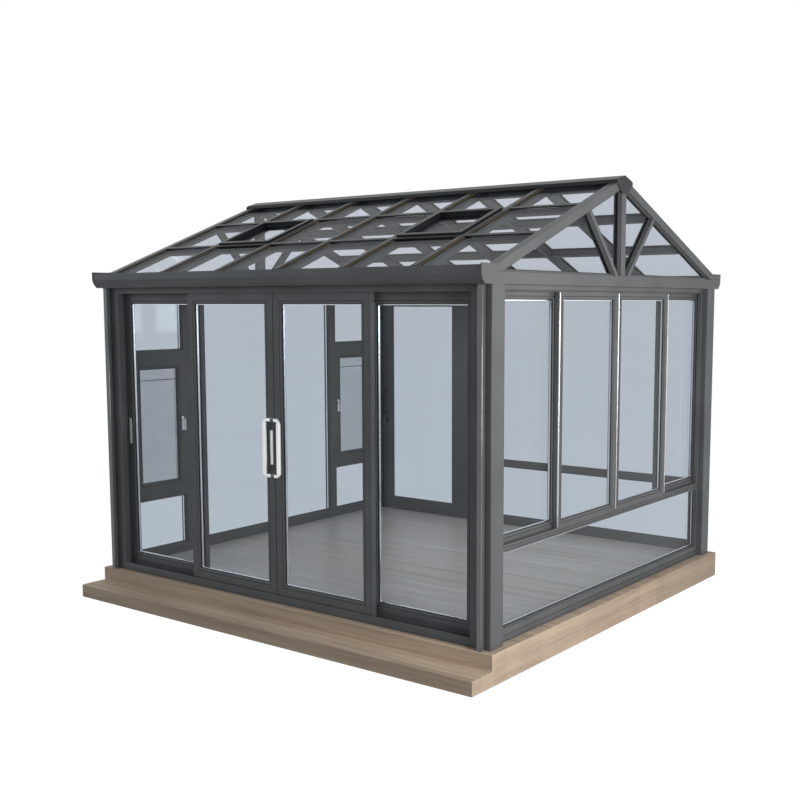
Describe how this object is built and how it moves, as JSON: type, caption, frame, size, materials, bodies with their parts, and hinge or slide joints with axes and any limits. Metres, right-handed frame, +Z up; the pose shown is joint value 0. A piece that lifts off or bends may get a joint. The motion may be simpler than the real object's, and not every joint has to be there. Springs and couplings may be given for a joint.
{
  "type": "glass sunroom",
  "caption": "Gable-roofed glass sunroom on a low timber deck, with sliding glass doors in front, a hinged glass door behind, roof hatches and gutters.",
  "frame": {"origin": "middle of the deck's underside, step not counted", "axes": "+X to the right along the sliding-door front, +Y from the front to the back, +Z up"},
  "size_m": [3.88, 3.811, 3.3046],
  "materials": {
    "anthracite_frame": "matt powder coat on aluminium",
    "roof_glass": "clear laminated safety glass",
    "wall_glass": "clear insulating glass",
    "deck_timber": "brushed and oiled decking",
    "floor_boards": "matt grey-brown floor boards",
    "white_handles": "white powder coat",
    "black_handles": "gloss black"
  },
  "bodies": {
    "house": {"back_door_hinges": "anthracite_frame", "back_door_threshold": "anthracite_frame", "back_wall_glass": "wall_glass", "back_wall_rails": "anthracite_frame", "back_wall_uprights": "anthracite_frame", "casement_levers": "white_handles", "corner_posts": "anthracite_frame", "deck": "deck_timber", "door_head": "anthracite_frame", "door_jambs": "anthracite_frame", "door_sill": "anthracite_frame", "downpipes": "anthracite_frame", "eave_beams": "anthracite_frame", "front_step": "deck_timber", "gable_glass": "roof_glass", "gable_truss_left": "anthracite_frame", "gable_truss_right": "anthracite_frame", "glazing_caps_back": "anthracite_frame", "glazing_caps_front": "anthracite_frame", "gutter_back": "anthracite_frame", "gutter_front": "anthracite_frame", "hatch_frames": "anthracite_frame", "hatch_glass": "roof_glass", "interior_floor": "floor_boards", "left_casements": "anthracite_frame", "left_wall_glass": "wall_glass", "left_wall_rails": "anthracite_frame", "left_wall_transoms": "anthracite_frame", "left_wall_uprights": "anthracite_frame", "purlins_back": "anthracite_frame", "purlins_front": "anthracite_frame", "rafters_back": "anthracite_frame", "rafters_front": "anthracite_frame", "ridge_beam": "anthracite_frame", "ridge_cap": "anthracite_frame", "right_sashes_inner": "anthracite_frame", "right_sashes_outer": "anthracite_frame", "right_wall_glass": "wall_glass", "right_wall_rails": "anthracite_frame", "right_wall_uprights": "anthracite_frame", "roof_glass_back": "roof_glass", "roof_glass_front": "roof_glass", "tie_beams": "anthracite_frame", "verge_rafters": "anthracite_frame"},
    "leaf_1": {"leaf_1_frame": "anthracite_frame", "leaf_1_glass": "wall_glass", "leaf_1_pull": "white_handles"},
    "leaf_2": {"leaf_2_frame": "anthracite_frame", "leaf_2_glass": "wall_glass", "leaf_2_pull": "white_handles"},
    "leaf_3": {"leaf_3_frame": "anthracite_frame", "leaf_3_glass": "wall_glass", "leaf_3_pull": "white_handles"},
    "leaf_4": {"leaf_4_frame": "anthracite_frame", "leaf_4_glass": "wall_glass"},
    "back_door": {"back_door_frame": "anthracite_frame", "back_door_glass": "wall_glass", "back_door_pulls": "black_handles"}
  },
  "joints": [
    {"name": "leaf_1_slide", "type": "slide", "parent": "house", "child": "leaf_1", "axis": [1, 0, 0], "range_m": [0, 0.8275]},
    {"name": "leaf_2_slide", "type": "slide", "parent": "house", "child": "leaf_2", "axis": [-1, 0, 0], "range_m": [0, 0.8275]},
    {"name": "leaf_3_slide", "type": "slide", "parent": "house", "child": "leaf_3", "axis": [1, 0, 0], "range_m": [0, 0.8275]},
    {"name": "leaf_4_slide", "type": "slide", "parent": "house", "child": "leaf_4", "axis": [-1, 0, 0], "range_m": [0, 0.8275]},
    {"name": "back_door_hinge", "type": "hinge", "parent": "house", "child": "back_door", "pos_m": [-0.721, 1.716, 1.35], "axis": [0, 0, -1], "range_deg": [0, 100]}
  ]
}
